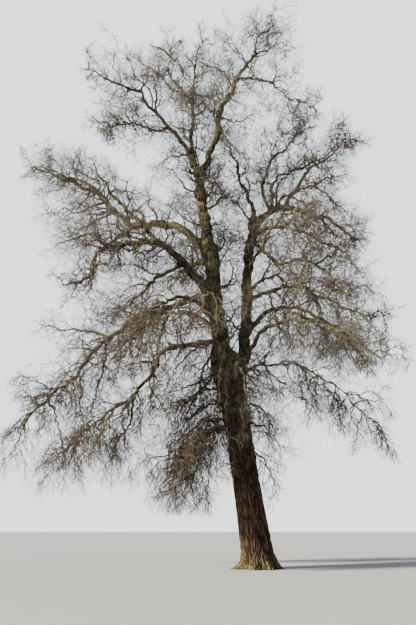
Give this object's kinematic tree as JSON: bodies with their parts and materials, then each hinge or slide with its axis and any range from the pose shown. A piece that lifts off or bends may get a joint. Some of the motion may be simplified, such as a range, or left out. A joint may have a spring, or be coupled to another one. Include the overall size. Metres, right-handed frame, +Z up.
{
  "type": "bare oak tree",
  "caption": "Tall bare winter oak: a leaning trunk forks into two leaders that carry crooked boughs all round, each ending in a mass of fine twigs.",
  "frame": {"origin": "middle of the flat cut under the trunk, at ground level", "axes": "+Z up the tree; -Y towards the viewer of the picture; the trunk leans to -X"},
  "size_m": [20.0931, 13.0197, 29.8146],
  "materials": {
    "trunk_bark": "deeply furrowed red-brown bark, matt",
    "bough_bark": "grey-brown bark with green-grey algae on the upper sides, matt",
    "twigs": "bare brown-grey twigs, matt"
  },
  "bodies": {
    "root": {"crown_north": "bough_bark", "crown_north_twigs": "twigs", "crown_south_twigs": "twigs", "east_leader": "trunk_bark", "east_low_twigs": "twigs", "east_tip": "bough_bark", "east_tip_twigs": "twigs", "high_east": "bough_bark", "high_east_out": "bough_bark", "high_east_out_twigs": "twigs", "high_east_rise": "bough_bark", "high_east_rise_twigs": "twigs", "high_east_twigs": "twigs", "high_west": "bough_bark", "high_west_twigs": "twigs", "long_low_west": "bough_bark", "long_low_west_twigs": "twigs", "low_east": "bough_bark", "low_east_twigs": "twigs", "low_west": "bough_bark", "low_west_twigs": "twigs", "lower_east": "bough_bark", "lower_east_twigs": "twigs", "mid_east": "bough_bark", "mid_east_twigs": "twigs", "mid_west": "bough_bark", "mid_west_twigs": "twigs", "north_east": "bough_bark", "north_east_twigs": "twigs", "north_high": "bough_bark", "north_high_twigs": "twigs", "north_low": "bough_bark", "north_low_twigs": "twigs", "north_mid": "bough_bark", "north_mid_twigs": "twigs", "north_west": "bough_bark", "north_west_twigs": "twigs", "south_east": "bough_bark", "south_east_twigs": "twigs", "south_low_twigs": "twigs", "south_mid": "bough_bark", "south_mid_twigs": "twigs", "south_west": "bough_bark", "south_west_twigs": "twigs", "top_east": "bough_bark", "top_east_spur": "bough_bark", "top_east_spur_twigs": "twigs", "top_east_twigs": "twigs", "top_mid": "bough_bark", "top_mid_spur": "bough_bark", "top_mid_spur_twigs": "twigs", "top_mid_twigs": "twigs", "top_west": "bough_bark", "top_west_spur": "bough_bark", "top_west_spur_twigs": "twigs", "top_west_twigs": "twigs", "trunk": "trunk_bark", "west_drop": "bough_bark", "west_drop_twigs": "twigs", "west_leader": "trunk_bark"}
  },
  "joints": []
}
